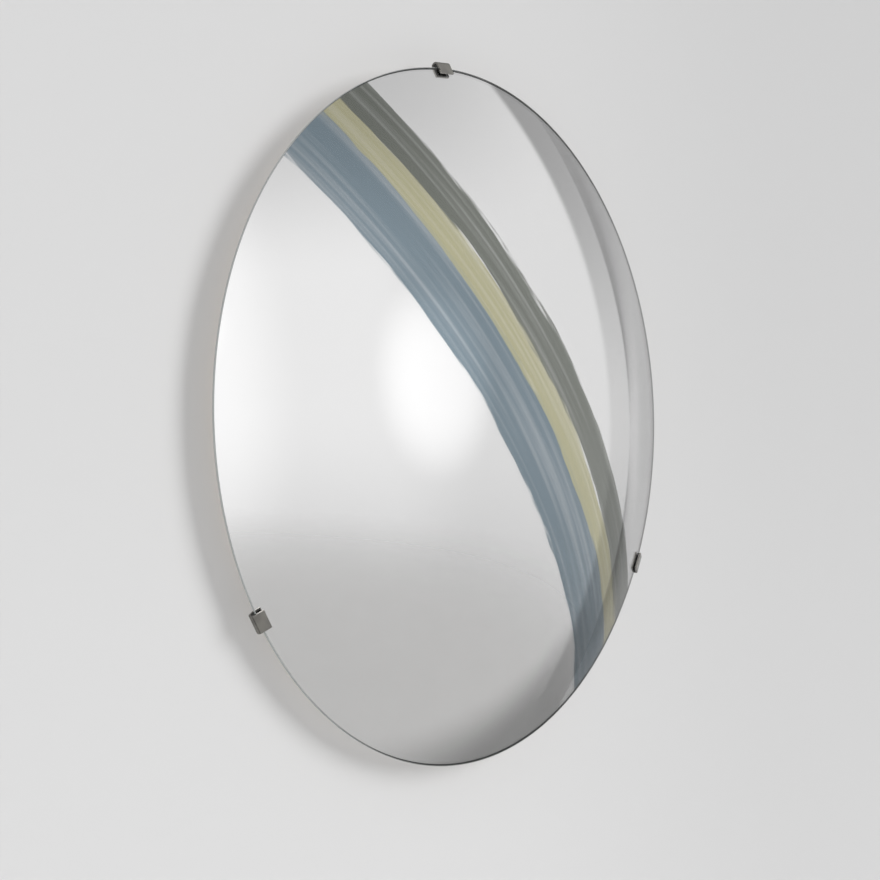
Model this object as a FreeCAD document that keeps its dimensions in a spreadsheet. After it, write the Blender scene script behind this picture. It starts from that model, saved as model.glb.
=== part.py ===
import FreeCAD, Part
import math
import os
import Sketcher

# Round bulging wall mirror held at its rim by three bent clips.
# Row frame: +Z up, the mirror looks along -Y, the wall is the plane Y = 0 and the
# origin is the centre of the back face of the wooden rail that is screwed to the wall.
# Lengths are in millimetres and angles in degrees.

SIZES = {
    # Slumped glass: radius and slope at the rim, seen from the front
    "rim_radius": 450,
    "rim_slope": 27,
    "glass_thickness": 5,
    "glass_arris": 1,
    "coat_thickness": 0.8,
    "coat_margin": 2,
    # Hanging rails: a bevelled rail on the wall and its mate on the mirror
    "rail_depth": 28,
    "rail_clearance": 0.5,
    "wall_rail_height": 50,
    "wall_rail_margin": 50,
    "wall_hole_pitch": 400,
    "wall_hole_radius": 2.6,
    "wall_hole_sink": 2.6,
    "rail_edge_round": 2,
    "hanging_rail_length": 440,
    "hanging_rail_height": 60,
    "hanging_rail_wall_gap": 1,
    "rail_screw_inset": 40,
    "rail_to_clip": 54,
    # Spacer batten with felt pads that keep the mirror parallel to the wall
    "batten_length": 300,
    "batten_height": 40,
    "batten_rise": 150,
    "batten_screw_inset": 90,
    "pad_radius": 12,
    "pad_thickness": 2,
    "pad_inset": 30,
    # Wood screws
    "wood_screw_length": 40,
    "wood_screw_radius": 2.2,
    "wood_head_radius": 4.4,
    "wood_screw_point": 5,
    "pilot_clearance": 0.1,
    # Round board behind the glass
    "board_margin": 50,
    "board_thickness": 15,
    "board_edge_round": 3,
    # Clips bent from flat strip, with a soft liner that is thicker beyond the glass edge
    "clip_turn": 3,
    "clip_width": 25,
    "clip_thickness": 2.5,
    "clip_lip": 11,
    "clip_bend": 2,
    "clip_corner": 1.5,
    "clip_tail": 18,
    "liner_thickness": 1,
    "liner_web": 4.7,
    "liner_lip": 10,
    "liner_width": 24,
    "liner_tail": 25,
    "glass_clearance": 0.3,
    # Machine screws, washers and threaded inserts for the clips
    "clip_screw_inset": 18,
    "clip_screw_pitch": 34,
    "clip_screw_radius": 2.5,
    "clip_screw_length": 14,
    "clip_head_radius": 4.6,
    "clip_head_height": 3,
    "clip_head_round": 1.2,
    "clip_socket_radius": 1.8,
    "clip_socket_depth": 1.8,
    "clip_hole_clearance": 0.3,
    "slot_travel": 13,
    "washer_radius": 6.5,
    "washer_thickness": 1.2,
    "washer_bore": 2.7,
    "insert_radius": 3.5,
    "insert_length": 12,
    "insert_clearance": 0.1,
}

CLIP_SPREAD = 120
TOLERANCE = 0.01
START, FINISH, CENTRE = range(1, 4)

doc = FreeCAD.newDocument("WallMirror")
sheet = doc.addObject("Spreadsheet::Sheet", "Sizes")
for row, (alias, number) in enumerate(SIZES.items(), start=1):
    sheet.set(f"A{row}", alias)
    sheet.set(f"B{row}", str(number))
    sheet.setAlias(f"B{row}", alias)
doc.recompute()

subparts = []


# Sizes that follow from the others
BOARD_RADIUS = "(rim_radius - board_margin)"
OUTER_SCREW = f"({BOARD_RADIUS} - clip_screw_inset)"
INNER_SCREW = f"({OUTER_SCREW} - clip_screw_pitch)"
ARM_END = f"({INNER_SCREW} - clip_tail - slot_travel)"
HALF_RAIL = "(wall_rail_height / 2)"
RAIL_TOP = f"({HALF_RAIL} + rail_depth + hanging_rail_height)"
MIRROR_DROP = f"({ARM_END} - rail_to_clip - {RAIL_TOP})"
BATTEN_DROP = f"({BOARD_RADIUS} - batten_rise)"


def named(text):
    """Turn plain names of sizes in a formula into references to the sheet."""
    words = sorted(SIZES, key=len, reverse=True)
    marked = text
    for number, word in enumerate(words):
        marked = marked.replace(word, f"@{number}@")
    for number, word in enumerate(words):
        marked = marked.replace(f"@{number}@", f"Sizes.{word}")
    return marked


def value(text):
    """Number that a formula gives with the present sizes."""
    result = sheet.evalExpression(named(text))
    return float(getattr(result, "Value", result))


def bind(thing, path, text):
    """Bind one property to a formula of sizes."""
    thing.setExpression(path, named(text))


def new_body(name, turn="0"):
    """Start a sub-part, turned about the mirror axis."""
    body = doc.addObject("PartDesign::Body", name)
    body.Label = name
    body.Placement = FreeCAD.Placement(
        FreeCAD.Vector(0, 0, 0),
        FreeCAD.Rotation(FreeCAD.Vector(0, 1, 0), -value(turn)),
    )
    subparts.append(body)
    return body


def on_mirror_axis(body):
    """Drop a sub-part from the rail to the height of the mirror axis."""
    bind(body, "Placement.Base.z", f"-{MIRROR_DROP}")


def plane_of(body, role):
    for feature in body.Origin.OriginFeatures:
        if feature.Role == role:
            return feature
    raise ValueError(f"no {role} in {body.Label}")


def new_sketch(body, name, role, lift="0", across="0"):
    """Sketch on one of the body's origin planes, shifted by two formulas."""
    sketch = body.newObject("Sketcher::SketchObject", f"{body.Name}_{name}")
    sketch.AttachmentSupport = [(plane_of(body, role), "")]
    sketch.MapMode = "FlatFace"
    bind(sketch, "AttachmentOffset.Base.z", lift)
    bind(sketch, "AttachmentOffset.Base.x", across)
    return sketch


def place_point(sketch, edge, end, across, up):
    """Hold one end of an edge at a place given by two formulas."""
    for kind, axis, text in (("DistanceX", -2, across), ("DistanceY", -1, up)):
        if text == "0":
            sketch.addConstraint(Sketcher.Constraint("PointOnObject", edge, end, axis))
            continue
        number = sketch.addConstraint(Sketcher.Constraint(kind, edge, end, value(text)))
        bind(sketch, f"Constraints[{number}]", text)


def outline(sketch, points, arcs=None):
    """Closed outline through points; arcs gives the radius of edges that curve outwards."""
    arcs = arcs or {}
    places = [FreeCAD.Vector(value(across), value(up), 0) for across, up in points]
    ends = []
    for number, first in enumerate(places):
        second = places[(number + 1) % len(places)]
        if number not in arcs:
            sketch.addGeometry(Part.LineSegment(first, second))
            ends.append((START, FINISH))
            continue
        radius = value(arcs[number][0])
        middle = (first + second) / 2
        chord = second - first
        reach = math.sqrt(max(radius ** 2 - (chord.Length / 2) ** 2, 0))
        side = FreeCAD.Vector(-chord.y, chord.x, 0).normalize() * arcs[number][1]
        centre = middle + side * reach
        angles = [math.atan2(p.y - centre.y, p.x - centre.x) for p in (first, second)]
        turns_left = arcs[number][1] > 0
        if not turns_left:
            angles.reverse()
        circle = Part.Circle(centre, FreeCAD.Vector(0, 0, 1), radius)
        sketch.addGeometry(Part.ArcOfCircle(circle, angles[0], angles[1]))
        ends.append((START, FINISH) if turns_left else (FINISH, START))
    count = len(points)
    for number in range(count):
        after = (number + 1) % count
        sketch.addConstraint(Sketcher.Constraint(
            "Coincident", number, ends[number][1], after, ends[after][0]))
    for number, (across, up) in enumerate(points):
        place_point(sketch, number, ends[number][0], across, up)
    for number, (radius, _) in arcs.items():
        rule = sketch.addConstraint(Sketcher.Constraint("Radius", number, value(radius)))
        bind(sketch, f"Constraints[{rule}]", radius)


def circles(sketch, centres, *radii):
    """Circles of the given radii round each centre."""
    for across, up in centres:
        for radius in radii:
            place = FreeCAD.Vector(value(across), value(up), 0)
            ring = Part.Circle(place, FreeCAD.Vector(0, 0, 1), value(radius))
            edge = sketch.addGeometry(ring)
            place_point(sketch, edge, CENTRE, across, up)
            rule = sketch.addConstraint(Sketcher.Constraint("Radius", edge, value(radius)))
            bind(sketch, f"Constraints[{rule}]", radius)


def pad(sketch, length, both_ways=False):
    body = sketch.getParentGeoFeatureGroup()
    feature = body.newObject("PartDesign::Pad", f"{sketch.Name}_pad")
    feature.Profile = sketch
    feature.Midplane = both_ways
    bind(feature, "Length", length)
    sketch.Visibility = False
    doc.recompute()
    return feature


def pocket(sketch, depth):
    """Cut along the sketch's own direction, which points away from the wall."""
    body = sketch.getParentGeoFeatureGroup()
    before = body.Shape.Volume
    feature = body.newObject("PartDesign::Pocket", f"{sketch.Name}_cut")
    feature.Profile = sketch
    feature.Reversed = True
    bind(feature, "Length", depth)
    doc.recompute()
    if body.Shape.Volume > before - TOLERANCE:
        raise ValueError(f"{feature.Name} cuts nothing")
    return feature


def revolve(sketch):
    body = sketch.getParentGeoFeatureGroup()
    feature = body.newObject("PartDesign::Revolution", f"{sketch.Name}_turn")
    feature.Profile = sketch
    feature.ReferenceAxis = (sketch, ["V_Axis"])
    feature.Angle = 360
    doc.recompute()
    return feature


def dress(body, kind, size_name, text, chosen):
    """Chamfer or fillet the edges that a test picks."""
    base = body.Tip
    names = [f"Edge{number}" for number, edge in enumerate(base.Shape.Edges, start=1) if chosen(edge)]
    if not names:
        raise ValueError(f"{body.Label} has no edge to dress")
    feature = body.newObject(f"PartDesign::{kind}", f"{body.Name}_{kind.lower()}_{len(body.Group)}")
    feature.Base = (base, names)
    bind(feature, size_name, text)
    doc.recompute()
    return feature


def row_of(body, originals, length, count):
    """Repeat features along the body's X axis, first to last over a given length."""
    feature = body.newObject("PartDesign::LinearPattern", f"{body.Name}_row")
    feature.Originals = originals
    feature.Direction = (plane_of(body, "X_Axis"), [""])
    bind(feature, "Length", length)
    feature.Occurrences = count
    body.Tip = feature
    doc.recompute()
    return feature


def near(number, text):
    return abs(number - value(text)) < TOLERANCE


def is_ring(edge):
    """Whether an edge is a full circle; the pole of a dome has no curve at all."""
    return not edge.Degenerated and edge.Closed and edge.Curve.TypeId == "Part::GeomCircle"


def same_circle(edge, radius, depth):
    """Whether an edge is a full circle of a radius at a depth from the wall."""
    return is_ring(edge) and near(edge.Curve.Radius, radius) and near(-edge.Curve.Center.y, depth)


def along_x(edge):
    """Whether an edge is straight and runs along a rail."""
    ends = [vertex.Point for vertex in edge.Vertexes]
    if len(ends) != 2:
        return False
    return abs(ends[0].y - ends[1].y) < TOLERANCE and abs(ends[0].z - ends[1].z) < TOLERANCE


# Section of the glass: every point is a distance from the mirror axis and a depth from the wall
SPHERE = "(rim_radius / sin(rim_slope))"
BACK_SPHERE = f"({SPHERE} - glass_thickness)"
RIM_DEPTH = "(rail_depth + liner_thickness + glass_clearance + glass_thickness * cos(rim_slope))"
CENTRE_DEPTH = f"({RIM_DEPTH} - {SPHERE} * cos(rim_slope))"
ANGLE_OF_CLIP = {
    "top": "(90 + clip_turn)",
    "left": f"(90 + clip_turn + {CLIP_SPREAD})",
    "right": f"(90 + clip_turn - {CLIP_SPREAD})",
}


# Wall rail: a hardwood rail whose top edge slopes down to the wall
wall_rail = new_body("wall_rail")
WALL_RAIL_FRONT = "(rail_depth - rail_clearance)"
section = new_sketch(wall_rail, "section", "YZ_Plane")
outline(section, [
    ("0", f"-{HALF_RAIL}"),
    ("0", HALF_RAIL),
    (f"-{WALL_RAIL_FRONT}", f"{HALF_RAIL} + {WALL_RAIL_FRONT}"),
    (f"-{WALL_RAIL_FRONT}", f"-{HALF_RAIL}"),
])
pad(section, "wall_hole_pitch + 2 * wall_rail_margin", both_ways=True)
wall_holes = [("-wall_hole_pitch / 2", "0"), ("wall_hole_pitch / 2", "0")]
holes = new_sketch(wall_rail, "holes", "XZ_Plane")
circles(holes, wall_holes, "wall_hole_radius")
pocket(holes, "rail_depth")
dress(wall_rail, "Chamfer", "Size", "wall_hole_sink",
      lambda edge: same_circle(edge, "wall_hole_radius", WALL_RAIL_FRONT))
dress(wall_rail, "Fillet", "Radius", "rail_edge_round",
      lambda edge: along_x(edge) and near(edge.Vertexes[0].Z, f"-{HALF_RAIL}")
      and near(edge.Vertexes[0].Y, f"-{WALL_RAIL_FRONT}"))


# Slumped mirror glass, with a ground and eased edge
mirror_glass = new_body("mirror_glass")
on_mirror_axis(mirror_glass)
glass_section = new_sketch(mirror_glass, "section", "XY_Plane")
outline(glass_section, [
    ("0", f"-({CENTRE_DEPTH} + {SPHERE})"),
    ("rim_radius", f"-{RIM_DEPTH}"),
    ("rim_radius - glass_thickness * sin(rim_slope)", f"-({RIM_DEPTH} - glass_thickness * cos(rim_slope))"),
    ("0", f"-({CENTRE_DEPTH} + {BACK_SPHERE})"),
], {0: (SPHERE, 1), 2: (BACK_SPHERE, -1)})
revolve(glass_section)
dress(mirror_glass, "Chamfer", "Size", "glass_arris",
      lambda edge: is_ring(edge) and edge.Curve.Radius > value("rim_radius - glass_thickness"))


# Silver, its paint and a safety film on the back of the glass, drawn as one thin shell
silvered_backing = new_body("silvered_backing")
on_mirror_axis(silvered_backing)
COAT_RIM = "(rim_radius - glass_thickness * sin(rim_slope) - coat_margin)"
COAT_RIM_REACH = f"sqrt({BACK_SPHERE} ^ 2 - {COAT_RIM} ^ 2)"
COAT_SHRINK = f"(({BACK_SPHERE} - coat_thickness) / {BACK_SPHERE})"
coat_section = new_sketch(silvered_backing, "section", "XY_Plane")
outline(coat_section, [
    ("0", f"-({CENTRE_DEPTH} + {BACK_SPHERE})"),
    (COAT_RIM, f"-({CENTRE_DEPTH} + {COAT_RIM_REACH})"),
    (f"{COAT_RIM} * {COAT_SHRINK}", f"-({CENTRE_DEPTH} + {COAT_RIM_REACH} * {COAT_SHRINK})"),
    ("0", f"-({CENTRE_DEPTH} + {BACK_SPHERE} - coat_thickness)"),
], {0: (BACK_SPHERE, 1), 2: (f"({BACK_SPHERE} - coat_thickness)", -1)})
revolve(coat_section)


def on_board(radius, side):
    """Place on the board of a clip's screw, across and up from the mirror axis."""
    return f"{radius} * cos({ANGLE_OF_CLIP[side]})", f"{radius} * sin({ANGLE_OF_CLIP[side]})"


# Round plywood board in the hollow of the glass, drilled for inserts and wood screws
backing_board = new_body("backing_board")
on_mirror_axis(backing_board)
disc = new_sketch(backing_board, "disc", "XZ_Plane", lift="rail_depth")
circles(disc, [("0", "0")], BOARD_RADIUS)
pad(disc, "board_thickness")
dress(backing_board, "Fillet", "Radius", "board_edge_round", is_ring)
insert_places = [on_board(radius, side) for side in ANGLE_OF_CLIP for radius in (OUTER_SCREW, INNER_SCREW)]
insert_holes = new_sketch(backing_board, "insert_holes", "XZ_Plane", lift="rail_depth")
circles(insert_holes, insert_places, "insert_radius + insert_clearance")
pocket(insert_holes, "insert_length + insert_clearance")
RAIL_MIDDLE = f"({RAIL_TOP} - hanging_rail_height / 2)"
PILOT_RADIUS = "wood_screw_radius + pilot_clearance"
RAIL_SCREW_COUNT = 4
BATTEN_SCREW_COUNT = 2
PAD_COUNT = 2


def level_row(count, length, inset, up):
    """Places of a level row, spread evenly along a length and kept in from its ends."""
    span = f"({length} - 2 * {inset})"
    return [(f"{span} * {number} / {count - 1} - {span} / 2", up) for number in range(count)]


def rail_screw_row(up):
    return level_row(RAIL_SCREW_COUNT, "hanging_rail_length", "rail_screw_inset", up)


def batten_screw_row(up):
    return level_row(BATTEN_SCREW_COUNT, "batten_length", "batten_screw_inset", up)


pilot_holes = new_sketch(backing_board, "pilot_holes", "XZ_Plane", lift="rail_depth")
circles(pilot_holes, rail_screw_row(f"{MIRROR_DROP} + {RAIL_MIDDLE}"), PILOT_RADIUS)
circles(pilot_holes, batten_screw_row(f"-{BATTEN_DROP}"), PILOT_RADIUS)
pocket(pilot_holes, "wood_screw_length - rail_depth + hanging_rail_wall_gap + pad_thickness")


# Brass threaded inserts in the board, two for each clip
clip_inserts = new_body("clip_inserts")
on_mirror_axis(clip_inserts)
sleeves = new_sketch(clip_inserts, "sleeves", "XZ_Plane", lift="rail_depth")
circles(sleeves, insert_places, "insert_radius", "clip_screw_radius + insert_clearance")
pad(sleeves, "insert_length")


# Hanging rail: the bevelled mate of the wall rail, screwed to the board
hanging_rail = new_body("hanging_rail")
section = new_sketch(hanging_rail, "section", "YZ_Plane")
outline(section, [
    ("-hanging_rail_wall_gap", f"{HALF_RAIL} + hanging_rail_wall_gap"),
    ("-hanging_rail_wall_gap", RAIL_TOP),
    ("-rail_depth", RAIL_TOP),
    ("-rail_depth", f"{HALF_RAIL} + rail_depth"),
])
pad(section, "hanging_rail_length", both_ways=True)
holes = new_sketch(hanging_rail, "holes", "XZ_Plane")
rail_screw_places = rail_screw_row(RAIL_MIDDLE)
circles(holes, rail_screw_places, PILOT_RADIUS)
pocket(holes, "rail_depth")
dress(hanging_rail, "Chamfer", "Size", "wood_head_radius - wood_screw_radius",
      lambda edge: same_circle(edge, PILOT_RADIUS, "hanging_rail_wall_gap"))
dress(hanging_rail, "Fillet", "Radius", "rail_edge_round",
      lambda edge: along_x(edge) and near(edge.Vertexes[0].Y, "-hanging_rail_wall_gap")
      and near(edge.Vertexes[0].Z, RAIL_TOP))


def wood_screws(name, places, face_depth):
    """Countersunk wood screws in a row, driven from the back into the board."""
    body = new_body(name)
    first_across, height = places[0]
    profile = new_sketch(body, "profile", "XY_Plane", lift=height, across=first_across)
    outline(profile, [
        ("0", f"-({face_depth})"),
        ("wood_head_radius", f"-({face_depth})"),
        ("wood_screw_radius", f"-({face_depth} + wood_head_radius - wood_screw_radius)"),
        ("wood_screw_radius", f"-({face_depth} + wood_screw_length - wood_screw_point)"),
        ("0", f"-({face_depth} + wood_screw_length)"),
    ])
    screw = revolve(profile)
    row_of(body, [screw], f"({places[-1][0]}) - ({first_across})", len(places))


wood_screws("hanging_rail_screws", rail_screw_places, "hanging_rail_wall_gap")


# Spacer batten low on the board, which keeps the mirror parallel to the wall
spacer_batten = new_body("spacer_batten")
BATTEN_MIDDLE = f"(-{MIRROR_DROP} - {BATTEN_DROP})"
section = new_sketch(spacer_batten, "section", "YZ_Plane")
outline(section, [
    ("-pad_thickness", f"{BATTEN_MIDDLE} - batten_height / 2"),
    ("-pad_thickness", f"{BATTEN_MIDDLE} + batten_height / 2"),
    ("-rail_depth", f"{BATTEN_MIDDLE} + batten_height / 2"),
    ("-rail_depth", f"{BATTEN_MIDDLE} - batten_height / 2"),
])
pad(section, "batten_length", both_ways=True)
holes = new_sketch(spacer_batten, "holes", "XZ_Plane")
batten_screw_places = batten_screw_row(BATTEN_MIDDLE)
circles(holes, batten_screw_places, PILOT_RADIUS)
pocket(holes, "rail_depth")
dress(spacer_batten, "Chamfer", "Size", "wood_head_radius - wood_screw_radius",
      lambda edge: same_circle(edge, PILOT_RADIUS, "pad_thickness"))
dress(spacer_batten, "Fillet", "Radius", "rail_edge_round",
      lambda edge: along_x(edge) and near(edge.Vertexes[0].Y, "-pad_thickness"))
wood_screws("spacer_batten_screws", batten_screw_places, "pad_thickness")


# Felt pads between the batten and the wall
spacer_felt_pads = new_body("spacer_felt_pads")
discs = new_sketch(spacer_felt_pads, "discs", "XZ_Plane")
circles(discs, level_row(PAD_COUNT, "batten_length", "pad_inset", BATTEN_MIDDLE), "pad_radius")
pad(discs, "pad_thickness")


# Clips: flat strip bent over the glass edge, along it and back under the board
def bent_strip(near_gaps, far_gaps, near_depth, far_depth, lip, end):
    """Outline of a bent strip. Its two sides have gaps from the face and from the edge of the glass."""
    def front_corner(gaps):
        face, edge = gaps
        return (f"(rim_radius + ({face}) * sin(rim_slope) + ({edge}) * cos(rim_slope))",
                f"({RIM_DEPTH} + ({face}) * cos(rim_slope) - ({edge}) * sin(rim_slope))")

    def back_corner(gaps, depth):
        across, forward = front_corner(gaps)
        return f"({across} - ({forward} - ({depth})) * tan(rim_slope))", f"({depth})"

    def lip_end(gaps):
        face = gaps[0]
        return (f"(rim_radius + ({face}) * sin(rim_slope) - ({lip}) * cos(rim_slope))",
                f"({RIM_DEPTH} + ({face}) * cos(rim_slope) + ({lip}) * sin(rim_slope))")

    corners = [
        lip_end(near_gaps), front_corner(near_gaps), back_corner(near_gaps, near_depth), (end, near_depth),
        (end, far_depth), back_corner(far_gaps, far_depth), front_corner(far_gaps), lip_end(far_gaps),
    ]
    return [(across, f"-({depth})") for across, depth in corners]


def across_strip_at(corner):
    """Test for the edges that cross a strip at a corner of its outline."""
    across, depth = corner

    def chosen(edge):
        return all(near(vertex.X, across) and near(vertex.Y, depth) for vertex in edge.Vertexes)
    return chosen


def bend(body, corners, places, radius):
    """Round the bends of a strip."""
    tests = [across_strip_at(corners[number]) for number in places]
    dress(body, "Fillet", "Radius", radius, lambda edge: any(test(edge) for test in tests))


SLIDING_CLIP = "top"
INNER_BENDS = (1, 2)
OUTER_BENDS = (6, 5)
STRIP_GAP = "glass_clearance + liner_thickness"
STRIP_EDGE_GAP = "glass_clearance + liner_web"
STRIP_BACK = "rail_depth - clip_thickness"


def corner_edge(edge, across):
    """Whether a short edge through the strip's thickness stands at a distance from the axis."""
    return edge.Length < value("clip_thickness") + TOLERANCE and all(
        near(vertex.X, across) for vertex in edge.Vertexes)


def make_clip(side):
    body = new_body(f"{side}_clip", turn=ANGLE_OF_CLIP[side])
    on_mirror_axis(body)
    inner_gaps = (STRIP_GAP, STRIP_EDGE_GAP)
    outer_gaps = [f"{gap} + clip_thickness" for gap in inner_gaps]
    corners = bent_strip(inner_gaps, outer_gaps, "rail_depth", STRIP_BACK, "clip_lip", ARM_END)
    strip = new_sketch(body, "strip", "XY_Plane")
    outline(strip, corners)
    pad(strip, "clip_width", both_ways=True)
    bend(body, corners, INNER_BENDS, "clip_bend")
    bend(body, corners, OUTER_BENDS, "clip_bend + clip_thickness")
    dress(body, "Fillet", "Radius", "clip_corner", lambda edge: corner_edge(edge, ARM_END))
    hole_radius = "clip_screw_radius + clip_hole_clearance"
    screws = (OUTER_SCREW, INNER_SCREW)
    cut_start = f"{STRIP_BACK} - glass_clearance"
    cut_depth = "clip_thickness + 2 * glass_clearance"
    holes = new_sketch(body, "holes", "XZ_Plane", lift=cut_start)
    circles(holes, [(screw, "0") for screw in screws], hole_radius)
    pocket(holes, cut_depth)
    if side != SLIDING_CLIP:
        return
    for number, screw in enumerate(screws):
        inner_end = f"{screw} - slot_travel"
        slot = new_sketch(body, f"slot_{number}", "XZ_Plane", lift=cut_start)
        outline(slot, [(inner_end, f"-({hole_radius})"), (screw, f"-({hole_radius})"),
                       (screw, hole_radius), (inner_end, hole_radius)])
        pocket(slot, cut_depth)
    slot_ends = new_sketch(body, "slot_ends", "XZ_Plane", lift=cut_start)
    circles(slot_ends, [(f"{screw} - slot_travel", "0") for screw in screws], hole_radius)
    pocket(slot_ends, cut_depth)


def make_liner(side):
    body = new_body(f"{side}_clip_liner", turn=ANGLE_OF_CLIP[side])
    on_mirror_axis(body)
    inner_gaps = ("glass_clearance", "glass_clearance")
    outer_gaps = (STRIP_GAP, STRIP_EDGE_GAP)
    corners = bent_strip(inner_gaps, outer_gaps, "rail_depth + liner_thickness", "rail_depth",
                         "liner_lip", "rim_radius - liner_tail")
    strip = new_sketch(body, "strip", "XY_Plane")
    outline(strip, corners)
    pad(strip, "liner_width", both_ways=True)
    bend(body, corners, INNER_BENDS, "clip_bend - liner_thickness")
    bend(body, corners, OUTER_BENDS, "clip_bend")


HEXAGON = range(0, 360, 60)


def make_screws(side):
    """Button-head machine screws with a hexagon socket."""
    body = new_body(f"{side}_clip_screws", turn=ANGLE_OF_CLIP[side])
    on_mirror_axis(body)
    under_head = f"({STRIP_BACK} - washer_thickness)"
    head_face = f"({under_head} - clip_head_height)"
    profile = new_sketch(body, "profile", "XY_Plane", across=INNER_SCREW)
    tip = f"({under_head} + clip_screw_length)"
    outline(profile, [
        ("0", f"-{head_face}"),
        ("clip_head_radius", f"-{head_face}"),
        ("clip_head_radius", f"-{under_head}"),
        ("clip_screw_radius", f"-{under_head}"),
        ("clip_screw_radius", f"-{tip}"),
        ("0", f"-{tip}"),
    ])
    screw = revolve(profile)
    head = dress(body, "Fillet", "Radius", "clip_head_round",
                 lambda edge: same_circle(edge, "clip_head_radius", head_face))
    socket = new_sketch(body, "socket", "XZ_Plane", lift=head_face, across=INNER_SCREW)
    outline(socket, [(f"clip_socket_radius * cos({angle})", f"clip_socket_radius * sin({angle})")
                     for angle in HEXAGON])
    recess = pocket(socket, "clip_socket_depth")
    row_of(body, [screw, head, recess], "clip_screw_pitch", 2)


def make_washers(side):
    body = new_body(f"{side}_clip_washers", turn=ANGLE_OF_CLIP[side])
    on_mirror_axis(body)
    rings = new_sketch(body, "rings", "XZ_Plane", lift=f"{STRIP_BACK} - washer_thickness")
    circles(rings, [(OUTER_SCREW, "0"), (INNER_SCREW, "0")], "washer_radius", "washer_bore")
    pad(rings, "washer_thickness")


for side in ANGLE_OF_CLIP:
    make_clip(side)
    make_liner(side)
    make_screws(side)
    make_washers(side)


doc.recompute()
for thing in doc.Objects:
    if "Invalid" in thing.State or "Error" in thing.State:
        raise RuntimeError(f"{thing.Name} failed: {thing.State}")
os.makedirs("parts", exist_ok=True)
for body in subparts:
    if body.Shape.isNull() or not body.Shape.isValid():
        raise RuntimeError(f"{body.Label} has no valid shape")
    body.Shape.exportStep(f"parts/{body.Label}.step")
    print(f"{body.Label}: {len(body.Shape.Solids)} solids, {body.Shape.Volume / 1000:.1f} cm3")
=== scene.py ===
import math

import bpy
from mathutils import Matrix, Vector


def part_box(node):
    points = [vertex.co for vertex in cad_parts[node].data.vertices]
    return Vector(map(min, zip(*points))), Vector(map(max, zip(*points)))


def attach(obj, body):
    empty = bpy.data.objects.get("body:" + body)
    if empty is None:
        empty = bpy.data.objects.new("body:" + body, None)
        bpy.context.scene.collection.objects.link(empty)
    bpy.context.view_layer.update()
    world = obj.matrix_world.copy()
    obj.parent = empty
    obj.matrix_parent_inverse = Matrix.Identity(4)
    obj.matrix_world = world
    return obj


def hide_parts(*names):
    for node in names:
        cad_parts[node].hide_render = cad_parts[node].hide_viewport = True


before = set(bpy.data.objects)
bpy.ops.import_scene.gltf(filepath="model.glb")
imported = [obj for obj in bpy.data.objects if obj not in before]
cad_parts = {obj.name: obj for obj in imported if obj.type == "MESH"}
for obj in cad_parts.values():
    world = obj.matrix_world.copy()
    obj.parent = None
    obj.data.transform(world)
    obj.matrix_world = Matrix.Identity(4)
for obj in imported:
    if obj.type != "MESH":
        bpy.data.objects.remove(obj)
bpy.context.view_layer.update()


# Wall rail, hanging rail and spacer batten
# Three lengths of planed beech, ripped with the grain along them and wiped with oil. The wall
# rail is screwed to the wall, the other two to the board, and the bevelled edges hook together.
class Value:
    """A socket that can be used in a formula."""

    def __init__(self, finish, socket):
        self.finish = finish
        self.socket = socket

    def maths(self, operation, *others):
        values = dict(enumerate((self, *others)))
        return self.finish.node("ShaderNodeMath", values, operation=operation)

    def __add__(self, other):
        return self.maths("ADD", other)

    def __sub__(self, other):
        return self.maths("SUBTRACT", other)

    def __mul__(self, other):
        return self.maths("MULTIPLY", other)

    def __rsub__(self, other):
        return self.maths("MULTIPLY_ADD", -1.0, other)

    def span(self, start, end, low=0.0, high=1.0):
        """Smooth step from low to high between two values of this one."""
        values = {"Value": self, "From Min": start, "From Max": end, "To Min": low, "To Max": high}
        return self.finish.node("ShaderNodeMapRange", values, interpolation_type="SMOOTHSTEP")


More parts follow.
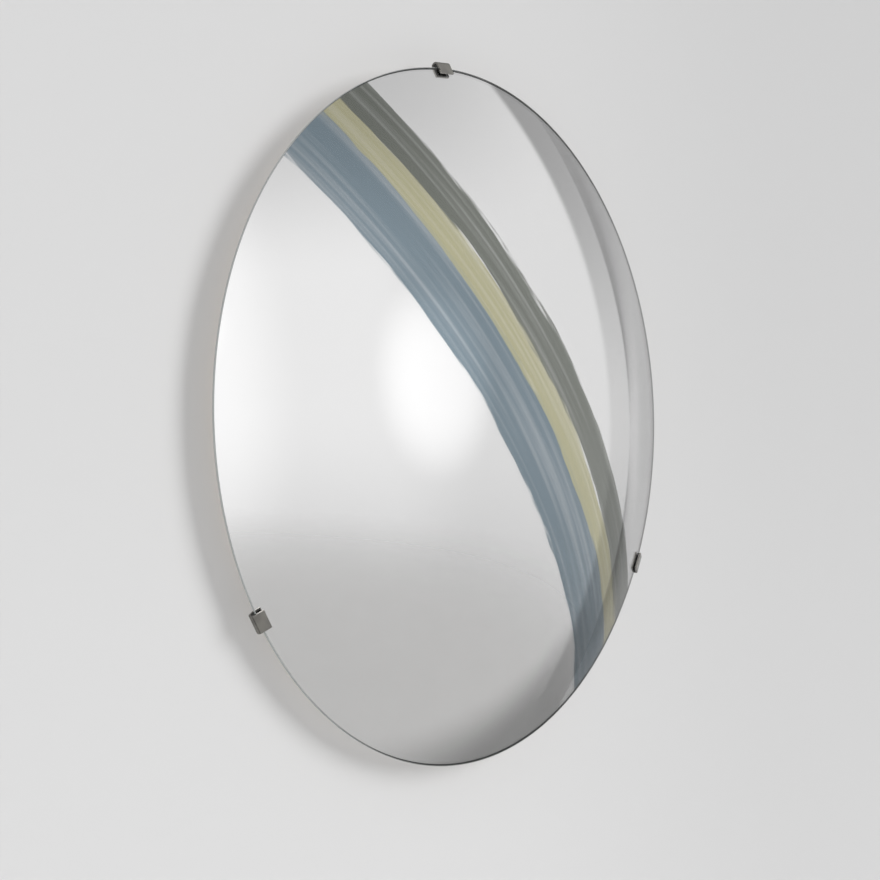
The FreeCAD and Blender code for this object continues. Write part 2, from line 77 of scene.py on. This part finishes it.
class Finish:
    """A material, with one method that adds any node to it."""

    MIX_SHARE, MIX_FIRST, MIX_SECOND, MIX_RESULT = 0, 6, 7, 2

    def __init__(self, name, **fixed):
        self.made = bpy.data.materials.new(name)
        self.made.use_nodes = True
        self.tree = self.made.node_tree
        self.shader = self.tree.nodes["Principled BSDF"]
        for socket, number in fixed.items():
            self.shader.inputs[socket.replace("_", " ")].default_value = number

    def node(self, kind, values=None, output=0, stops=(), **settings):
        node = self.tree.nodes.new(kind)
        for name, setting in settings.items():
            setattr(node, name, setting)
        for number, (place, colour) in enumerate(stops):
            elements = node.color_ramp.elements
            element = elements[number] if number < len(elements) else elements.new(1.0)
            element.position = place
            element.color = (*colour, 1.0)
        for name, value in (values or {}).items():
            socket = node.inputs[name]
            if isinstance(value, Value):
                self.tree.links.new(value.socket, socket)
            elif socket.type == "RGBA":
                socket.default_value = (*value, 1.0)
            else:
                socket.default_value = value
        return Value(self, node.outputs[output])

    def place(self, scale=(1.0, 1.0, 1.0), turn=(0.0, 0.0, 0.0), shift=(0.0, 0.0, 0.0)):
        """Object coordinates in metres, turned and moved, then scaled."""
        spot = self.node("ShaderNodeTexCoord", output="Object")
        turned = self.node("ShaderNodeMapping", {"Vector": spot, "Rotation": turn, "Location": shift})
        return self.node("ShaderNodeMapping", {"Vector": turned, "Scale": scale})

    def part_of(self, vector, axis):
        return self.node("ShaderNodeSeparateXYZ", {"Vector": vector}, output=axis)

    def length(self, vector):
        return self.node("ShaderNodeVectorMath", {0: vector}, output="Value", operation="LENGTH")

    def noise(self, spot, scale, detail=3.0, distortion=0.0):
        values = {"Vector": spot, "Scale": scale, "Detail": detail, "Distortion": distortion}
        return self.node("ShaderNodeTexNoise", values)

    def blend(self, share, first, second):
        """From the first colour to the second, by a share."""
        values = {self.MIX_SHARE: share, self.MIX_FIRST: first, self.MIX_SECOND: second}
        return self.node("ShaderNodeMix", values, output=self.MIX_RESULT, data_type="RGBA")

    def feed(self, socket, value):
        self.tree.links.new(value.socket, self.shader.inputs[socket])

    def bump(self, height, distance, strength):
        values = {"Height": height, "Distance": distance, "Strength": strength}
        self.feed("Normal", self.node("ShaderNodeBump", values))

    def on(self, *nodes):
        """Put this finish on pieces that keep their machined shape."""
        for name in nodes:
            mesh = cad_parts[name].data
            mesh.materials.clear()
            mesh.materials.append(self.made)


MOST_OF_NOISE = 0.3, 0.7
MIDDLE_OF_NOISE = 0.35, 0.65

BEECH_GRAIN = 1.6
BEECH_STRETCH = (1.2, 26.0, 26.0)
PORE_STRETCH = (14.0, 420.0, 420.0)
DARK_PORES = 0.62, 0.72
ROUGH_PORES = 0.4, 0.75
BEECH_TONES = [(0.30, (0.42, 0.24, 0.12)), (0.52, (0.55, 0.34, 0.18)), (0.72, (0.64, 0.43, 0.25))]
BEECH_PORE = (0.30, 0.16, 0.08)
BEECH_ROUGHNESS = 0.42, 0.62
PORE_SHARE = 0.0, 0.55
PORE_DEPTH = 0.0003
beech = Finish("oiled_beech")
figure = beech.noise(beech.place(scale=BEECH_STRETCH), BEECH_GRAIN, detail=4.0, distortion=0.6)
pores = beech.noise(beech.place(scale=PORE_STRETCH), 1.0, detail=2.0)
wood_tone = beech.node("ShaderNodeValToRGB", {"Fac": figure}, stops=BEECH_TONES)
beech.feed("Base Color", beech.blend(pores.span(*DARK_PORES, *PORE_SHARE), wood_tone, BEECH_PORE))
beech.feed("Roughness", pores.span(*ROUGH_PORES, *BEECH_ROUGHNESS))
beech.bump(pores, PORE_DEPTH, strength=0.35)
beech.on("wall_rail", "hanging_rail", "spacer_batten")


# Mirror glass
# A disc of clear float glass, slumped in a mould to part of a sphere, with a ground and eased
# edge. It is silvered behind, over three strokes of tinted lacquer laid side by side.
GLASS = 0.005
RIM_RADIUS = 0.450
RIM_SLOPE = math.radians(27)
ARRIS = 0.0013
ARRIS_ANGLE = math.radians(60)
ARRIS_STEPS = 3
RIM_FACET = 8
SEGMENTS = 256
RINGS_TO_RIM = 42
SILVERED, GROUND = 1, 2
glass_low, glass_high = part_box("mirror_glass")
sphere = RIM_RADIUS / math.sin(RIM_SLOPE)
mirror_height = (glass_low.z + glass_high.z) / 2
sphere_centre = Vector((0, glass_low.y + sphere, mirror_height))


def only(thing):
    """Select one object and make it active."""
    bpy.ops.object.select_all(action="DESELECT")
    thing.select_set(True)
    bpy.context.view_layer.objects.active = thing


def finish_with(thing, kind, **settings):
    """Add a modifier and apply it."""
    only(thing)
    modifier = thing.modifiers.new(kind.title(), kind)
    for name, setting in settings.items():
        setattr(modifier, name, setting)
    bpy.ops.object.modifier_apply(modifier=modifier.name)


def settle(thing, degrees):
    """Put the place and turn into the mesh, and smooth it up to an angle."""
    only(thing)
    bpy.ops.object.transform_apply(location=True, rotation=True, scale=True)
    bpy.ops.object.shade_smooth_by_angle(angle=math.radians(degrees))


def dome(name, radius, rim_angle, thickness, finishes):
    """A bulging shell with its wall on the hollow side; finishes go to front, back and rim."""
    bpy.ops.object.select_all(action="DESELECT")
    bpy.ops.mesh.primitive_uv_sphere_add(
        segments=SEGMENTS, ring_count=round(math.pi / rim_angle * RINGS_TO_RIM), radius=radius,
        location=sphere_centre, rotation=(math.pi / 2, 0, 0))
    shell = bpy.context.object
    shell.name = name
    bpy.ops.object.transform_apply(location=True, rotation=True, scale=True)
    bpy.ops.object.mode_set(mode="EDIT")
    bpy.ops.mesh.select_all(action="SELECT")
    rim_centre = sphere_centre - Vector((0, radius * math.cos(rim_angle), 0))
    bpy.ops.mesh.bisect(plane_co=rim_centre, plane_no=(0, 1, 0), clear_outer=True)
    bpy.ops.object.mode_set(mode="OBJECT")
    for finish in finishes:
        shell.data.materials.append(finish.made)
    finish_with(shell, "SOLIDIFY", thickness=thickness, offset=-1, use_even_offset=True,
                material_offset=SILVERED, material_offset_rim=GROUND)
    return shell


CLEAR_GLASS = (0.975, 0.99, 0.985, 1.0)
GLASS_INDEX = 1.52
clear = Finish("clear_glass", Transmission_Weight=1.0, Roughness=0.0, IOR=GLASS_INDEX,
               Base_Color=CLEAR_GLASS)

FROST_TONES = (0.30, 0.315, 0.31), (0.40, 0.415, 0.41)
FROST_PAINTED_SHADE_THROUGH_GLASS = (0.14, 0.15, 0.146)
FROST_GRAIN = 500.0
FROST_ROUGHNESS = 0.38, 0.55
ground = Finish("ground_edge")
frost = ground.noise(ground.place(), FROST_GRAIN, detail=2.0)
# Painted shade: seen from inside the glass, the ground edge is painted darker, for the dim edge seen
# through the glass.
through_glass = ground.node("ShaderNodeNewGeometry", output="Backfacing")
frosted = ground.blend(frost, *FROST_TONES)
ground.feed("Base Color", ground.blend(through_glass, frosted, FROST_PAINTED_SHADE_THROUGH_GLASS))
ground.feed("Roughness", frost.span(*MOST_OF_NOISE, *FROST_ROUGHNESS))

SILVER = (0.915, 0.90, 0.905)
BARE_MARGIN = (0.31, 0.32, 0.32)
SILVER_STOP = 0.4460
SILVER_FEATHER = 0.0004
STROKE_LEAN = math.radians(-50)
STROKES = [
    (-0.048, 0.044, (0.215, 0.28, 0.33)),
    (0.038, 0.080, (0.55, 0.52, 0.33)),
    (0.078, 0.134, (0.19, 0.20, 0.175)),
]
STROKE_FEATHER = 0.0022
STROKE_WANDER = 0.030
WANDER_STRETCH = (7.0, 1.0, 80.0)
BRISTLE_STRETCH = (2.2, 1.0, 110.0)
BRISTLE_GAPS = 0.25, 0.6
BRISTLE_COVER = 0.78, 1.0
silver = Finish("silver_over_tinted_strokes", Metallic=1.0, Roughness=0.0)
along_stroke = (0, STROKE_LEAN, 0)
stroke_spot = silver.place(turn=along_stroke, shift=(0, 0, -mirror_height * math.cos(STROKE_LEAN)))
bristles = silver.noise(silver.place(turn=along_stroke, scale=BRISTLE_STRETCH), 1.0, detail=1.0)
silver_tone = SILVER
for number, (start, end, colour) in enumerate(STROKES):
    edge_spot = silver.place(turn=along_stroke, shift=(number, 0, 0), scale=WANDER_STRETCH)
    wander = silver.noise(edge_spot, 1.0)
    across = silver.part_of(stroke_spot, "Z") + (wander - 0.5) * STROKE_WANDER
    cover = across.span(start - STROKE_FEATHER, start + STROKE_FEATHER) * (
        1 - across.span(end - STROKE_FEATHER, end + STROKE_FEATHER))
    cover = cover * bristles.span(*BRISTLE_GAPS, *BRISTLE_COVER)
    silver_tone = silver.blend(cover, silver_tone, colour)
from_axis = silver.length(silver.place(scale=(1, 0, 1), shift=(0, 0, -mirror_height)))
bare = from_axis.span(SILVER_STOP - SILVER_FEATHER, SILVER_STOP + SILVER_FEATHER)
silver.feed("Base Color", silver.blend(bare, silver_tone, BARE_MARGIN))

mirror = dome("mirror_dome", sphere, RIM_SLOPE, GLASS, (clear, silver, ground))
finish_with(mirror, "BEVEL", width=ARRIS, segments=ARRIS_STEPS, material=GROUND,
            limit_method="ANGLE", angle_limit=ARRIS_ANGLE)
settle(mirror, RIM_FACET)
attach(mirror, "mirror")
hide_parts("mirror_glass")


# Back of the silvering
# Copper and grey mirror paint behind the silver, sealed with a clear safety film. The coats
# stop short of the ground edge.
COAT = 0.0007
COAT_GAP = 0.0001
COAT_RIM = 0.44573
COAT_FACET = 15
PAINT_TONES = (0.21, 0.22, 0.23), (0.29, 0.30, 0.305)
PAINT_ROUGHNESS = 0.45, 0.6
SPECKLE_GRAIN = 900.0
SPECKLE_DEPTH = 0.0002
DRIFT_GRAIN = 6.0
paint = Finish("mirror_back_paint")
speckle = paint.noise(paint.place(), SPECKLE_GRAIN, detail=2.0)
drift = paint.noise(paint.place(), DRIFT_GRAIN)
paint.feed("Base Color", paint.blend(drift.span(*MOST_OF_NOISE), *PAINT_TONES))
paint.feed("Roughness", drift.span(*MOST_OF_NOISE, *PAINT_ROUGHNESS))
paint.bump(speckle, SPECKLE_DEPTH, strength=0.4)
coats = dome("silver_backing", sphere - GLASS - COAT_GAP, math.asin(COAT_RIM / (sphere - GLASS)),
             COAT, (paint, paint, paint))
settle(coats, COAT_FACET)
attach(coats, "mirror")
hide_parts("silvered_backing")


# Backing board
# Birch plywood, turned round and sealed with lacquer. It fills the hollow of the glass at the
# back, and its veneers show as bands on the turned edge.
PLY = 0.0015
GLUE_LINE = -0.4, 0.4
EDGE_TO_FACE = 0.5, 0.9
VENEER_GRAIN = 1.5
VENEER_STRETCH = (3.0, 60.0, 40.0)
VENEER_RANGE = 0.2, 0.8
BIRCH_TONES = [(0.28, (0.50, 0.34, 0.19)), (0.5, (0.64, 0.47, 0.29)), (0.75, (0.72, 0.56, 0.37))]
EDGE_TONES = (0.33, 0.20, 0.10), (0.66, 0.50, 0.32)
VENEER_ROUGHNESS = 0.4, 0.58
VENEER_DEPTH = 0.0002
plywood = Finish("birch_plywood")
veneer = plywood.noise(plywood.place(scale=VENEER_STRETCH), VENEER_GRAIN, detail=5.0, distortion=1.2)
face_tone = plywood.node("ShaderNodeValToRGB", {"Fac": veneer}, stops=BIRCH_TONES)
layers = (plywood.part_of(plywood.place(), "Y") * (math.pi / PLY)).maths("SINE")
edge_tone = plywood.blend(layers.span(*GLUE_LINE), *EDGE_TONES)
facing = plywood.part_of(plywood.node("ShaderNodeTexCoord", output="Normal"), "Y").maths("ABSOLUTE")
plywood.feed("Base Color", plywood.blend(facing.span(*EDGE_TO_FACE), edge_tone, face_tone))
plywood.feed("Roughness", veneer.span(*VENEER_RANGE, *VENEER_ROUGHNESS))
plywood.bump(veneer, VENEER_DEPTH, strength=0.3)
plywood.on("backing_board")


# Threaded inserts
# Turned brass sleeves, pressed into the board for the clips' screws. The marks of the tool run
# round them.
BRASS_TONES = (0.62, 0.44, 0.18), (0.76, 0.58, 0.28)
BRASS_ROUGHNESS = 0.2, 0.34
TURNING_STRETCH = (1.0, 30.0, 1.0)
TURNING_GRAIN = 60.0
brass = Finish("turned_brass", Metallic=1.0)
turning = brass.noise(brass.place(scale=TURNING_STRETCH), TURNING_GRAIN, detail=1.0)
brass.feed("Base Color", brass.blend(turning, *BRASS_TONES))
brass.feed("Roughness", turning.span(*MOST_OF_NOISE, *BRASS_ROUGHNESS))
brass.on("clip_inserts")


# Wood screws, and the clips' screws and washers
# Steel with zinc plating, faintly yellow where it was passivated. Six button heads with
# washers hold the clips, and six countersunk heads the hanging rail and the batten.
CLIP_ANGLES = {"top": 93, "left": 213, "right": 333}
ZINC_TONES = (0.60, 0.61, 0.62), (0.66, 0.62, 0.52)
ZINC_ROUGHNESS = 0.22, 0.38
ZINC_GRAIN = 180.0
zinc = Finish("zinc_plate", Metallic=1.0)
clouds = zinc.noise(zinc.place(), ZINC_GRAIN, detail=2.0)
zinc.feed("Base Color", zinc.blend(clouds.span(*MIDDLE_OF_NOISE), *ZINC_TONES))
zinc.feed("Roughness", clouds.span(*MOST_OF_NOISE, *ZINC_ROUGHNESS))
zinc.on("hanging_rail_screws", "spacer_batten_screws")
for side in CLIP_ANGLES:
    zinc.on(f"{side}_clip_screws", f"{side}_clip_washers")


# Felt pads
# Two punched discs of grey wool felt, glued to the batten where it meets the wall. They keep
# the wall from being scratched.
FELT_TONES = (0.15, 0.14, 0.13), (0.30, 0.28, 0.26)
FIBRE_GRAIN = 1400.0
FIBRE_CURL = 1.5
FIBRE_DEPTH = 0.0006
felt = Finish("wool_felt", Roughness=0.95, Sheen_Weight=0.3)
fibres = felt.noise(felt.place(), FIBRE_GRAIN, distortion=FIBRE_CURL)
felt.feed("Base Color", felt.blend(fibres, *FELT_TONES))
felt.bump(fibres, FIBRE_DEPTH, strength=0.8)
felt.on("spacer_felt_pads")


# Clip liners
# Strips of black rubber, folded round the edge of the glass to keep the metal off it. They are
# glued inside the clips and move with them.
RUBBER_TONES = (0.012, 0.012, 0.012), (0.03, 0.03, 0.03)
GRIP_GRAIN = 700.0
GRIP_DEPTH = 0.0002
rubber = Finish("clip_rubber", Roughness=0.7)
grip = rubber.noise(rubber.place(), GRIP_GRAIN, detail=2.0)
rubber.feed("Base Color", rubber.blend(grip, *RUBBER_TONES))
rubber.bump(grip, GRIP_DEPTH, strength=0.5)
for side in CLIP_ANGLES:
    rubber.on(f"{side}_clip_liner")


# Clips
# Flat steel strip, cut, drilled and bent over the rim of the glass and back under the board,
# then plated in dark satin nickel. The top one has slots, so it can slide out.
STRIP = 0.0025
STRIP_WIDTH = 0.025
STRIP_GAP = 0.0013
STRIP_EDGE_GAP = 0.005
LIP = 0.011
BEND = 0.002
ARM_DEPTH = 0.028
ARM_END = 0.317
ARM_CORNER = 0.0015
HOLE_RADIUS = 0.0028
HOLES = (0.348, 0.382)
SLOT_TRAVEL = 0.013
EASED = 0.0003
EASED_ANGLE = math.radians(50)
EASED_STEPS = 2
CLIP_FACET = 16
BEND_STEPS = 8
ARM_BEND_STEPS = 6
CORNER_STEPS = 4
DRILL_SIDES = 32
CLOSE = 1e-5
NICKEL_TONES = (0.27, 0.26, 0.245), (0.33, 0.32, 0.295)
NICKEL_ROUGHNESS = 0.14, 0.24
TUMBLING_GRAIN = 1600.0
TUMBLING_DEPTH = 0.00001
PATINA_GRAIN = 70.0
lean_in, lean_out = math.sin(RIM_SLOPE), math.cos(RIM_SLOPE)
rim_depth = -sphere_centre.y + sphere * lean_out
front_reach = RIM_RADIUS + STRIP_GAP * lean_in + STRIP_EDGE_GAP * lean_out
front_depth = rim_depth + STRIP_GAP * lean_out - STRIP_EDGE_GAP * lean_in
back_reach = front_reach - (front_depth - ARM_DEPTH) * lean_in / lean_out
arm_bend = BEND * math.tan((math.pi / 2 - RIM_SLOPE) / 2)

nickel = Finish("dark_satin_nickel", Metallic=1.0)
tumbling = nickel.noise(nickel.place(), TUMBLING_GRAIN)
patina = nickel.noise(nickel.place(), PATINA_GRAIN)
nickel.feed("Base Color", nickel.blend(patina.span(*MIDDLE_OF_NOISE), *NICKEL_TONES))
nickel.feed("Roughness", patina.span(*MOST_OF_NOISE, *NICKEL_ROUGHNESS))
nickel.bump(tumbling, TUMBLING_DEPTH, strength=0.5)


def draw_out(reach, depth):
    """Draw the strip's open end out by a step."""
    bpy.ops.mesh.extrude_region_move(TRANSFORM_OT_translate={"value": (reach, -depth, 0)})


def pick(thing, test, corners=False):
    """Select a mesh's edges, or its corners, whose ends all pass a test."""
    bpy.ops.object.mode_set(mode="OBJECT")
    mesh = thing.data
    for group in (mesh.vertices, mesh.edges, mesh.polygons):
        group.foreach_set("select", [False] * len(group))
    for vertex in mesh.vertices:
        vertex.select = corners and test(vertex.co)
    for edge in mesh.edges:
        edge.select = not corners and all(test(mesh.vertices[number].co) for number in edge.vertices)
    bpy.ops.object.mode_set(mode="EDIT")
    bpy.ops.mesh.select_mode(type="VERT" if corners else "EDGE")


def near(place, reach, depth):
    """Whether a corner lies on a line across the strip."""
    return abs(place.x - reach) < CLOSE and abs(place.y + depth) < CLOSE


def drill(clip, across, travel):
    """Cut a hole or a slot through the arm of a clip."""
    bpy.ops.object.select_all(action="DESELECT")
    bpy.ops.mesh.primitive_cylinder_add(
        vertices=DRILL_SIDES, radius=HOLE_RADIUS, depth=4 * STRIP,
        location=(across, -ARM_DEPTH, 0), rotation=(math.pi / 2, 0, 0))
    bit = bpy.context.object
    bpy.ops.object.transform_apply(location=True, rotation=True, scale=True)
    if travel:
        for vertex in bit.data.vertices:
            if vertex.co.x < across - CLOSE:
                vertex.co.x -= travel
    finish_with(clip, "BOOLEAN", object=bit, operation="DIFFERENCE", solver="EXACT")
    bpy.data.objects.remove(bit)


for side, degrees in CLIP_ANGLES.items():
    bpy.ops.object.select_all(action="DESELECT")
    bpy.ops.mesh.primitive_plane_add(
        size=STRIP_WIDTH, location=(ARM_END + STRIP_WIDTH / 2, -ARM_DEPTH, 0), rotation=(math.pi / 2, 0, 0))
    clip = bpy.context.object
    clip.name = f"{side}_clip_strip"
    bpy.ops.object.transform_apply(location=True, rotation=True, scale=True)
    pick(clip, lambda place: near(place, ARM_END + STRIP_WIDTH, ARM_DEPTH))
    draw_out(back_reach - ARM_END - STRIP_WIDTH, 0)
    draw_out(front_reach - back_reach, front_depth - ARM_DEPTH)
    draw_out(-(LIP + STRIP_EDGE_GAP) * lean_out, (LIP + STRIP_EDGE_GAP) * lean_in)
    pick(clip, lambda place: near(place, front_reach, front_depth))
    bpy.ops.mesh.bevel(offset=BEND, segments=BEND_STEPS, affect="EDGES")
    pick(clip, lambda place: near(place, back_reach, ARM_DEPTH))
    bpy.ops.mesh.bevel(offset=arm_bend, segments=ARM_BEND_STEPS, affect="EDGES")
    pick(clip, lambda place: near(place, ARM_END, ARM_DEPTH), corners=True)
    bpy.ops.mesh.bevel(offset=ARM_CORNER, segments=CORNER_STEPS, affect="VERTICES")
    bpy.ops.object.mode_set(mode="OBJECT")
    finish_with(clip, "SOLIDIFY", thickness=STRIP, offset=-1, use_even_offset=True)
    finish_with(clip, "BEVEL", width=EASED, segments=EASED_STEPS,
                limit_method="ANGLE", angle_limit=EASED_ANGLE)
    for across_arm in HOLES:
        drill(clip, across_arm, SLOT_TRAVEL if side == "top" else 0)
    clip.data.materials.append(nickel.made)
    clip.rotation_euler = (0, -math.radians(degrees), 0)
    clip.location = (0, 0, mirror_height)
    settle(clip, CLIP_FACET)
    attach(clip, "top_clip" if side == "top" else "mirror")
    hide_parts(f"{side}_clip")


# Wall and floor of the studio
# Pale sheets with painted shade, which show from their fronts only, so the mirror can be looked at from
# behind.
# Daylight passes through the wall to the mirror's back, and the floor fades into the backdrop.
WALL_TONE_AND_PAINTED_SHADE = (0.73, 0.73, 0.732), (0.665, 0.665, 0.667)
WALL_PAINTED_SHADE_IN_GLASS = (0.15, 0.15, 0.15)
WALL_PAINTED_SHADOW = (0.16, 0.17, 0.18)
FLOOR_TONE = (0.70, 0.696, 0.688), (0.74, 0.736, 0.728)
FLOOR_PAINTED_SHADE_IN_GLASS = (0.31, 0.31, 0.306)
WALL_PLANE = 0.0005
FLOOR_DROP = 1.62
STAGE_REACH = 7.0
WALL_PAINTED_SHADE_OVER = -0.1, 0.9
NEAR_RIM = 0.53, 0.62
NEAR_RIM_DIMMING = 0.42, 0.2
FAR_FROM_RIM = 0.7, 1.4
ABOVE_AND_BELOW = 0.0, 0.6
RISE_DIMMING = 0.0, 0.64
PAINTED_SHADOW_RADII = 0.375, 0.408
OPEN_WALL = 0.40, 0.44
FLOOR_BY_WALL = -1.0, -0.45
FLOOR_FADE = 2.0, 6.5
FLOOR_GRAIN = 3.0


class Sheet(Finish):
    """A matt finish that can be open to some rays."""

    def ray(self, *kinds):
        rays = [self.node("ShaderNodeLightPath", output=f"Is {kind} Ray") for kind in kinds]
        return rays[0].maths("MAXIMUM", *rays[1:]) if len(rays) > 1 else rays[0]

    def from_mirror(self):
        return self.length(self.place(shift=(0, 0, -mirror_height)))

    def lay(self, low, high, turn, open_share):
        """Stretch a sheet between two corners; it is also open from behind."""
        bpy.ops.object.select_all(action="DESELECT")
        bpy.ops.mesh.primitive_plane_add(size=1, location=(low + high) / 2, rotation=turn)
        plane = bpy.context.object
        plane.name = self.made.name
        sides = plane.rotation_euler.to_matrix().inverted() @ (high - low)
        plane.scale = [abs(side) or 1.0 for side in sides]
        bpy.ops.object.transform_apply(location=True, rotation=True, scale=True)
        behind = self.node("ShaderNodeNewGeometry", output="Backfacing")
        open_air = self.node("ShaderNodeBsdfTransparent")
        coat = Value(self, self.shader.outputs[0])
        share = behind.maths("MAXIMUM", open_share)
        mixed = self.node("ShaderNodeMixShader", {0: share, 1: coat, 2: open_air})
        self.tree.links.new(mixed.socket, self.tree.nodes["Material Output"].inputs["Surface"])
        plane.data.materials.append(self.made)


wall = Sheet("studio_wall", Roughness=0.9)
rise = (wall.part_of(wall.place(), "Z") - mirror_height).maths("ABSOLUTE")
distance = wall.from_mirror()
# Painted shade in reflections: where the glass shows the wall, it is painted darker above and below the
# mirror and just beside its rim.
painted_shade_beside_rim = distance.span(*NEAR_RIM, *NEAR_RIM_DIMMING) * distance.span(*FAR_FROM_RIM, 1.0, 0.0)
painted_shade_in_glass = rise.span(*ABOVE_AND_BELOW, *RISE_DIMMING).maths("MAXIMUM", painted_shade_beside_rim)
# Painted shade: the wall is painted darker towards the right.
wall_with_painted_shade = wall.blend(wall.part_of(wall.place(), "X").span(*WALL_PAINTED_SHADE_OVER), *WALL_TONE_AND_PAINTED_SHADE)
# Painted shadow: the wall behind the mirror's rim is painted dark where the camera sees it.
wall_with_painted_shade = wall.blend(distance.span(*PAINTED_SHADOW_RADII, 1.0, 0.0), wall_with_painted_shade, WALL_PAINTED_SHADOW)
wall.feed("Base Color", wall.blend(painted_shade_in_glass * wall.ray("Glossy"), wall_with_painted_shade, WALL_PAINTED_SHADE_IN_GLASS))
behind_mirror = distance.span(*OPEN_WALL, 1.0, 0.0) * (1 - wall.ray("Camera"))
wall.lay(Vector((-STAGE_REACH, WALL_PLANE, -FLOOR_DROP)), Vector((STAGE_REACH, WALL_PLANE, STAGE_REACH)),
         (math.pi / 2, 0, 0), behind_mirror.maths("MAXIMUM", wall.ray("Shadow", "Diffuse")))

floor = Sheet("studio_floor", Roughness=0.9)
grain = floor.noise(floor.place(), FLOOR_GRAIN)
# Painted shade in reflections: where the glass shows the floor near the wall, it is painted darker.
painted_shade_by_wall = floor.part_of(floor.place(), "Y").span(*FLOOR_BY_WALL) * floor.ray("Glossy", "Transmission")
floor.feed("Base Color", floor.blend(painted_shade_by_wall, floor.blend(grain, *FLOOR_TONE), FLOOR_PAINTED_SHADE_IN_GLASS))
floor.lay(Vector((-STAGE_REACH, -STAGE_REACH, -FLOOR_DROP)), Vector((STAGE_REACH, 0.0, -FLOOR_DROP)),
          (0, 0, 0), floor.from_mirror().span(*FLOOR_FADE))


# Daylight, sun and fill
# A pale dome of light, brighter on the left and behind, with two soft bright patches. A broad
# low sun from the right lays the soft shadow on the wall, and one from the left fills it.
MIDDLE_PATCH = 33, 0.10, 0.970, 0.999
MIDDLE_LEVEL = 0.24
LEFT_PATCH = -20.7, 0.30, 0.958, 0.997
LEFT_LEVEL = 1.7
LEFT_TO_RIGHT = -8, 8, 1.07, 0.91
RIGHT_TO_BESIDE = 22, 45, 1.0, 0.88
LEVEL_TO_HIGH = 0.35, 0.75, 1.0, 0.70
LOW_TO_LEVEL = -0.65, 0.05, 0.62, 1.0
DARK_EDGE_STARTS = 80, 82.5
DARK_EDGE_ENDS = 95, 115, 1.0, 0.0
DARK_EDGE_BY_HEIGHT = 0.0, 0.45, 0.14, 0.5
LIGHT_FROM_BEHIND = 0.0, 0.35, 0.08, 1.0
LIGHT_FROM_ABOVE = 0.3, 0.95, 0.0, 0.65
KEY_SUN = Vector((0.59, -0.807, 0.31)), 1.46, 40
FILL_SUN = Vector((-0.79, -0.613, 0.0)), 1.8, 6
world = bpy.data.worlds.new("studio_light")
bpy.context.scene.world = world
world.use_nodes = True


class Daylight(Sheet):
    """The same way of adding nodes, for the world."""

    def __init__(self, made):
        self.tree = made.node_tree
        self.shader = made.node_tree.nodes["Background"]

    def patch(self, way, bearing, rise, rim, core):
        """A soft bright patch, at degrees to the right of the mirror's axis and a slope above it.

        Rim and core are the cosines of its two radii.
        """
        turn = math.radians(bearing)
        toward = Vector((math.sin(turn), -math.cos(turn), rise)).normalized()
        values = {0: way, 1: toward}
        closeness = self.node("ShaderNodeVectorMath", values, output="Value", operation="DOT_PRODUCT")
        return closeness.span(rim, core)


sky = Daylight(world)
way = sky.node("ShaderNodeTexCoord")
left_patch = sky.patch(way, *LEFT_PATCH)
glow = sky.patch(way, *MIDDLE_PATCH) * MIDDLE_LEVEL + left_patch * left_patch * LEFT_LEVEL
bearing = sky.part_of(way, "X").maths("ARCTAN2", 0 - sky.part_of(way, "Y")) * math.degrees(1)
height = sky.part_of(way, "Z")
sideways = bearing.span(*LEFT_TO_RIGHT) * bearing.span(*RIGHT_TO_BESIDE)
upright = height.span(*LEVEL_TO_HIGH) * height.span(*LOW_TO_LEVEL)
beside = bearing.span(*DARK_EDGE_STARTS) * bearing.span(*DARK_EDGE_ENDS)
dark_edge = beside * height.maths("ABSOLUTE").span(*DARK_EDGE_BY_HEIGHT)
pictured = sideways * upright * (1 - dark_edge) + glow
behind = sky.part_of(way, "Y").span(*LIGHT_FROM_BEHIND)
overhead = height.span(*LIGHT_FROM_ABOVE)
seen = sky.ray("Camera", "Glossy").maths("MAXIMUM", sky.ray("Transmission"))
level = pictured * seen + behind.maths("MAXIMUM", overhead) * (1 - seen)
sky.feed("Color", sky.node("ShaderNodeCombineXYZ", {0: level, 1: level, 2: level}))


def sun(toward, energy, width):
    """A sun that shines on the mirror and isn't seen in it."""
    bpy.ops.object.light_add(type="SUN", location=toward)
    lamp = bpy.context.object
    lamp.rotation_euler = toward.to_track_quat("Z", "Y").to_euler()
    lamp.data.energy = energy
    lamp.data.angle = math.radians(width)
    lamp.visible_glossy = False
    lamp.visible_transmission = False


sun(*KEY_SUN)
sun(*FILL_SUN)


# Camera
# The photograph's viewpoint: 51 degrees to the left of the mirror's axis and a little below it.
LENS = 98.25
CAMERA_LEFT, CAMERA_OUT, CAMERA_DROP = 2.4231, 1.978, 0.0724
YAW, PITCH, ROLL = (math.radians(angle) for angle in (50.81, 0.78, -0.69))
camera_data = bpy.data.cameras.new("camera")
camera_data.lens = LENS
camera = bpy.data.objects.new("camera", camera_data)
bpy.context.scene.collection.objects.link(camera)
camera.matrix_world = (
    Matrix.Translation((-CAMERA_LEFT, -CAMERA_OUT, mirror_height - CAMERA_DROP))
    @ Matrix.Rotation(-YAW, 4, "Z")
    @ Matrix.Rotation(math.pi / 2 + PITCH, 4, "X")
    @ Matrix.Rotation(ROLL, 4, "Z"))
bpy.context.scene.camera = camera
bpy.context.scene.view_settings.view_transform = "Standard"
